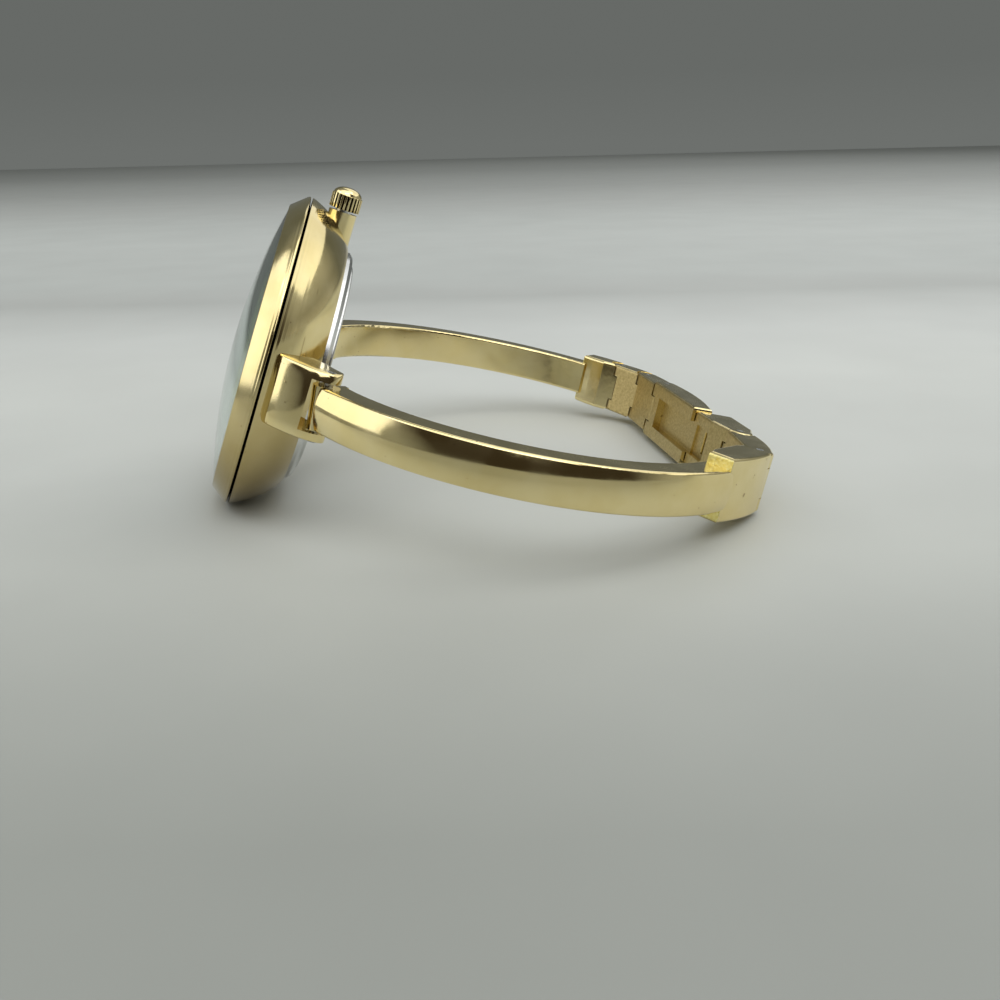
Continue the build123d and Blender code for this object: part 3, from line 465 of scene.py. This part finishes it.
for name in ("near_link", "far_link_1", "far_link_2", "clasp_box", "clasp_base", "clasp_tongue"):
    finishes[name] = band_gold
for name in ("near_lug", "far_lug"):
    finishes[name] = lug_gold
for name in ("train_bridge", "battery_strap", "stator", "cannon_pinion", "crown_stem", "crown_tube"):
    finishes[name] = steel_plain
for name, node in nodes.items():
    finish = finishes.get(name, steel_plain if name.endswith("_pin") else small_gold)
    node.data.materials.clear()
    node.data.materials.append(finish)


def select_only(piece):
    bpy.ops.object.select_all(action="DESELECT")
    piece.select_set(True)
    bpy.context.view_layer.objects.active = piece


def settle(piece, local, body, finish):
    # Places a piece that was modelled in millimetres in a frame of the watch, and lets it ride on its body
    piece.matrix_world = local @ Matrix.Scale(MM, 4)
    select_only(piece)
    bpy.ops.object.transform_apply(location=True, rotation=True, scale=True)
    piece.data.materials.clear()
    piece.data.materials.append(finish)
    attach(piece, body)
    piece.select_set(False)
    return piece


def start_shaping(piece, name):
    # Names a primitive, keeps its place in its mesh and opens it with nothing selected
    piece.name = name
    piece.data.name = name
    select_only(piece)
    bpy.ops.object.transform_apply(location=True, rotation=True, scale=True)
    bpy.ops.object.mode_set(mode="EDIT")
    bpy.ops.mesh.select_all(action="DESELECT")
    return bmesh.from_edit_mesh(piece.data)


def pick_points(shape, test):
    # Selects the points whose places pass a test, and the edges and faces between them
    bpy.ops.mesh.select_all(action="DESELECT")
    bpy.ops.mesh.select_mode(type="VERT")
    for point in shape.verts:
        point.select = test(point.co)
    shape.select_flush(True)


def pick_faces(shape, test):
    bpy.ops.mesh.select_all(action="DESELECT")
    bpy.ops.mesh.select_mode(type="FACE")
    for face in shape.faces:
        face.select = test(face)


def draw_up(rise, scale):
    # Extrudes what is selected along Z, and widens or narrows its end
    bpy.ops.mesh.extrude_region_move(TRANSFORM_OT_translate={"value": (0, 0, rise)})
    bpy.ops.transform.resize(value=(scale, scale, 1))


def cut_across(places, direction):
    # Cuts a whole block across a direction, at each of the places along it
    for place in places:
        bpy.ops.mesh.select_all(action="SELECT")
        bpy.ops.mesh.bisect(plane_co=place * direction, plane_no=direction)


def end_shaping(piece, bevel, angle):
    # Closes a piece, rounds its edges that are sharper than an angle in degrees, and shades it smooth between
    bpy.ops.mesh.select_all(action="SELECT")
    bpy.ops.mesh.remove_doubles(threshold=MERGE)
    bpy.ops.mesh.normals_make_consistent(inside=False)
    bpy.ops.object.mode_set(mode="OBJECT")
    select_only(piece)
    if bevel:
        rounding = piece.modifiers.new("rounding", "BEVEL")
        rounding.width = bevel
        rounding.segments = 3
        rounding.limit_method = "ANGLE"
        rounding.angle_limit = radians(angle)
        bpy.ops.object.modifier_apply(modifier=rounding.name)
    bpy.ops.object.shade_smooth_by_angle(angle=radians(angle))


def face_outwards(piece):
    # Turns the faces of a mirrored piece outwards again
    select_only(piece)
    bpy.ops.object.mode_set(mode="EDIT")
    bpy.ops.mesh.select_all(action="SELECT")
    bpy.ops.mesh.normals_make_consistent(inside=False)
    bpy.ops.object.mode_set(mode="OBJECT")


def model_bezel():
    # Turned as a cone with a rounded lip, and bored for the crystal through to the case's front
    middle = (0, 0, GROOVE_HALF + BEZEL_LAND / 2)
    bpy.ops.mesh.primitive_cylinder_add(
        vertices=BEZEL_SIDES, radius=CASE_RADIUS, depth=BEZEL_LAND, location=middle, end_fill_type="NGON"
    )
    piece = bpy.context.active_object
    shape = start_shaping(piece, "turned_bezel")
    pick_faces(shape, lambda face: face.normal.z > FACING)
    level, radius = GROOVE_HALF + BEZEL_LAND, CASE_RADIUS
    for height, reach in BEZEL_STEPS:
        draw_up(height - level, reach / radius)
        level, radius = height, reach
    draw_up(-level - GROOVE_HALF, 1)
    bpy.ops.mesh.delete(type="ONLY_FACE")
    pick_faces(shape, lambda face: face.normal.z < -FACING and len(face.verts) == BEZEL_SIDES)
    bpy.ops.mesh.delete(type="ONLY_FACE")
    pick_points(shape, lambda place: place.z < GROOVE_HALF + TOUCH)
    bpy.ops.mesh.bridge_edge_loops()
    end_shaping(piece, BEZEL_ROUNDING, 20)
    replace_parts(settle(piece, watch @ FACING_FRONT, "case", case_gold), "bezel")


def model_crown():
    # A knob with cut flutes under a low dome, hollow below for the tube
    top = CROWN_BASE + CROWN_HEIGHT
    middle = (0, 0, CROWN_BASE + CROWN_HEIGHT / 2)
    bpy.ops.mesh.primitive_cylinder_add(
        vertices=FLUTES * FLUTE_SIDES, radius=CROWN_RADIUS, depth=CROWN_HEIGHT, location=middle
    )
    piece = bpy.context.active_object
    shape = start_shaping(piece, "fluted_crown")
    pick_faces(shape, lambda face: face.normal.z < -FACING)
    bpy.ops.mesh.inset(thickness=CROWN_RADIUS - CROWN_BORE)
    draw_up(CROWN_BORE_DEPTH, 1)
    pick_faces(shape, lambda face: face.normal.z > FACING and face.calc_center_median().z > top - TOUCH)
    bpy.ops.mesh.inset(thickness=CROWN_STEP)
    radius = reach = CROWN_RADIUS - CROWN_STEP
    level = 0.0
    for share in DOME_SHARES:
        wide = radius * (1 - share ** 2) ** 0.5
        high = CROWN_DOME * share
        draw_up(high - level, wide / reach)
        reach, level = wide, high
    bpy.ops.mesh.poke(offset=CROWN_DOME * (1 - DOME_SHARES[-1]))
    flute = 2 * pi / FLUTES

    def in_flute(face):
        # One half of each flute's share of the side is cut, and the other half stands
        middle = face.calc_center_median()
        side = abs(face.normal.z) < CLOSE and middle.xy.length > CROWN_RADIUS - CROWN_STEP / 2
        return side and (atan2(middle.y, middle.x) / flute) % 1.0 < 0.5

    pick_faces(shape, in_flute)
    bpy.ops.mesh.extrude_region_shrink_fatten(TRANSFORM_OT_shrink_fatten={"value": -FLUTE_DEPTH})
    end_shaping(piece, CROWN_ROUNDING, 35)
    place = watch @ Matrix.Translation((CROWN_PLACE * MM, 0, 0))
    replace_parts(settle(piece, place, "crown_knob", crown_gold), "crown")


def model_lug():
    # A pillow cast on the case's side: a block cut into columns and rows whose outside is drawn up,
    # smoothed by subdivision, with the slot for the arm cut out of its rear
    outer, inner = LUG_BLOCK
    start, end = LUG_COLUMNS[0][0], LUG_COLUMNS[-1][0]
    bpy.ops.mesh.primitive_cube_add(size=1.0, location=((start + end) / 2, -(outer + inner) / 2, 0))
    piece = bpy.context.active_object
    shape = start_shaping(piece, "near_pillow_lug")
    bpy.ops.mesh.select_all(action="SELECT")
    bpy.ops.transform.resize(value=(end - start, outer - inner, 2 * LUG_HALF))
    cut_across([column[0] for column in LUG_COLUMNS[1:-1]], Vector((1, 0, 0)))
    cut_across(sorted(side * row[0] for row in LUG_ROWS[1:] for side in (-1, 1)), Vector((0, 0, 1)))
    for x, outside, root in LUG_COLUMNS:
        for z, drop in LUG_ROWS:
            for y, goal in ((-outer, drop - outside), (-inner, -root)):
                pick_points(shape, lambda co: abs(co.x - x) + abs(abs(co.z) - z) + abs(co.y - y) < CLOSE)
                bpy.ops.transform.translate(value=(0, goal - y, 0))
    end_shaping(piece, 0, 40)
    soft = piece.modifiers.new("soft", "SUBSURF")
    soft.levels = soft.render_levels = LUG_SMOOTHING
    bpy.ops.object.modifier_apply(modifier=soft.name)
    length, depth = SLOT_CUTTER
    middle = (LUG_SLOT + length / 2, -outer, 0)
    bpy.ops.mesh.primitive_cube_add(size=1.0, location=middle, scale=(length, depth, 2 * SLOT_HALF))
    cutter = bpy.context.active_object
    select_only(piece)
    slot = piece.modifiers.new("slot", "BOOLEAN")
    slot.object = cutter
    slot.solver = "EXACT"
    bpy.ops.object.modifier_apply(modifier=slot.name)
    bpy.data.objects.remove(cutter)
    bpy.ops.object.shade_smooth_by_angle(angle=radians(35))
    far = piece.copy()
    far.data = piece.data.copy()
    far.name = far.data.name = "far_pillow_lug"
    bpy.context.scene.collection.objects.link(far)
    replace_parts(settle(piece, watch, "case", lug_gold), "near_lug")
    settle(far, watch @ Matrix.Scale(-1, 4, (0, 1, 0)), "case", lug_gold)
    face_outwards(far)
    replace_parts(far, "far_lug")


def floor_paper():
    # Matt grey paper on a table, whose edge behind the watch shows as a faint line before a paler band. All
    # its tones along
    #  the depth are painted light and shade: darker near the camera and far off, paler in between
    material, tree, shader = new_material("grey paper with painted light", 0.0)
    place = add(tree, "ShaderNodeTexCoord").outputs["Object"]
    turned = add(tree, "ShaderNodeMapping", {"Vector": place, "Rotation": (0, 0, radians(EDGE_TURN))})
    depth = add(tree, "ShaderNodeSeparateXYZ", {"Vector": turned}).outputs["Y"]
    # Painted light and shade along the depth, in front of the table's edge
    near = [
        (0.0, "#9A9D98"), (0.05, "#9B9E99"), (0.11, "#A9ACA7"), (0.2, "#C0C3BE"), (0.32, "#C9CCC8"),
        (0.5, "#D0D3CF"), (0.65, "#CED1CE"), (0.79, "#C1C4C1"), (0.85, "#B6B9B6"), (0.9, "#B9BCB9"),
        (1.0, "#BEC2BF"),
    ]
    # Painted light and shade beyond the table's edge, darker far off
    far = [
        (0.0, "#BEC2BF"), (0.1, "#C3C7C4"), (0.18, "#BEC2BF"), (0.3, "#B2B5B2"), (0.5, "#A0A3A0"),
        (1.0, "#8E918E"),
    ]
    settings = {"Value": depth, "From Min": PAINTED_TONES_START, "From Max": TABLE_EDGE}
    painted_near_tones = add(tree, "ShaderNodeValToRGB", {"Fac": add(tree, "ShaderNodeMapRange", settings)}, near)
    settings = {"Value": depth, "From Min": TABLE_EDGE, "From Max": PAINTED_TONES_END}
    painted_far_tones = add(tree, "ShaderNodeValToRGB", {"Fac": add(tree, "ShaderNodeMapRange", settings)}, far)
    settings = {"Value": depth, "From Min": TABLE_EDGE - EDGE_HALF, "From Max": TABLE_EDGE + EDGE_HALF}
    share = add(tree, "ShaderNodeMapRange", settings)
    # The floor's painted light and shade, near and far
    shade = add(tree, "ShaderNodeMixRGB", {"Fac": share, "Color1": painted_near_tones, "Color2": painted_far_tones})
    cloud = add(tree, "ShaderNodeTexNoise", {"Vector": place, "Scale": 1 / PAPER_MOTTLE, "Detail": 3.0})
    settings = {"Value": cloud, "From Min": 0.3, "From Max": 0.7, "To Min": 0.97, "To Max": 1.03}
    mottle = add(tree, "ShaderNodeMapRange", settings)
    tone = add(tree, "ShaderNodeVectorMath", {0: shade, 1: mottle}, operation="MULTIPLY")
    fill(tree, shader.inputs["Base Color"], tone)
    fill(tree, shader.inputs["Roughness"], 0.55)
    return material


def stage():
    bpy.ops.mesh.primitive_plane_add(size=FLOOR_SIZE, location=(0, 0, 0))
    floor = bpy.context.active_object
    floor.name = "floor"
    floor.data.materials.append(floor_paper())


def soft_box(name, azimuth, elevation, size, strength):
    # A plain panel, its size in metres, at an azimuth from behind towards the right and an elevation,
    # both in degrees
    turn, rise = radians(azimuth), radians(elevation)
    place = LAMP_DISTANCE * Vector((sin(turn) * cos(rise), cos(turn) * cos(rise), sin(rise)))
    data = bpy.data.lights.new(name, "AREA")
    data.shape = "RECTANGLE"
    data.size, data.size_y = size
    data.energy = strength * pi * size[0] * size[1]
    lamp = bpy.data.objects.new(name, data)
    lamp.location = place
    lamp.rotation_euler = place.to_track_quat("Z", "Y").to_euler()
    lamp.visible_camera = False
    bpy.context.scene.collection.objects.link(lamp)


def set_camera():
    # A lens as long as the sensor is wide, at the photograph's viewing angle
    data = bpy.data.cameras.new("camera")
    data.sensor_width = 36.0
    data.lens = 36.0
    data.clip_start = 0.005
    camera = bpy.data.objects.new("camera", data)
    camera.location = [place * MM for place in CAMERA_PLACE]
    camera.rotation_euler = [radians(angle) for angle in CAMERA_TURN]
    bpy.context.scene.collection.objects.link(camera)
    bpy.context.scene.camera = camera


def set_world():
    # A dark grey wall behind, a dark room in front, paler sides and ceiling
    world = bpy.data.worlds.new("studio")
    world.use_nodes = True
    tree = world.node_tree
    direction = add(tree, "ShaderNodeTexCoord").outputs["Generated"]
    parts = add(tree, "ShaderNodeSeparateXYZ", {"Vector": direction}).outputs
    by_height = {"Fac": parts["Z"]}
    wall = [(0.0, "#6D706D"), (0.06, "#676A67"), (0.7, "#646764"), (1.0, "#B3B5B2")]
    room = [(0.0, "#38322A"), (0.62, "#38322A"), (0.8, "#B3B5B2"), (1.0, "#C3C5C2")]
    left = [(0.0, "#8E918E"), (0.25, "#909390"), (0.5, "#A8AAA7"), (1.0, "#B3B5B2")]
    right = [(0.0, "#A6A7A2"), (0.12, "#8C8D88"), (0.4, "#B3B5B2"), (1.0, "#B3B5B2")]
    behind, ahead, to_left, to_right = (
        add(tree, "ShaderNodeValToRGB", by_height, stops) for stops in (wall, room, left, right)
    )
    depth = add(tree, "ShaderNodeMapRange", {"Value": parts["Y"], "From Min": -0.35, "From Max": 0.35})
    side = add(tree, "ShaderNodeMapRange", {"Value": parts["X"], "From Min": -0.1, "From Max": 0.1})
    width = add(tree, "ShaderNodeMath", {0: parts["X"]}, operation="ABSOLUTE")
    middle = add(tree, "ShaderNodeMixRGB", {"Fac": depth, "Color1": ahead, "Color2": behind})
    flanks = add(tree, "ShaderNodeMixRGB", {"Fac": side, "Color1": to_left, "Color2": to_right})
    share = add(tree, "ShaderNodeMapRange", {"Value": width, "From Min": 0.7, "From Max": 0.9})
    mixed = add(tree, "ShaderNodeMixRGB", {"Fac": share, "Color1": middle, "Color2": flanks})
    fill(tree, tree.nodes["Background"].inputs["Color"], mixed)
    bpy.context.scene.world = world
    bpy.context.scene.view_settings.view_transform = "Standard"


model_bezel()
model_crown()
model_lug()
stage()
set_world()
soft_box("panel in front", 167, 43, (1.22, 1.1), 1.7)
soft_box("panel overhead", 165, 75, (3.2, 1.8), 1.15)
soft_box("window on the right", 63, 44, (3.4, 1.5), 0.85)
soft_box("window on the left", -87, 32, (1.6, 2.0), 1.15)
set_camera()
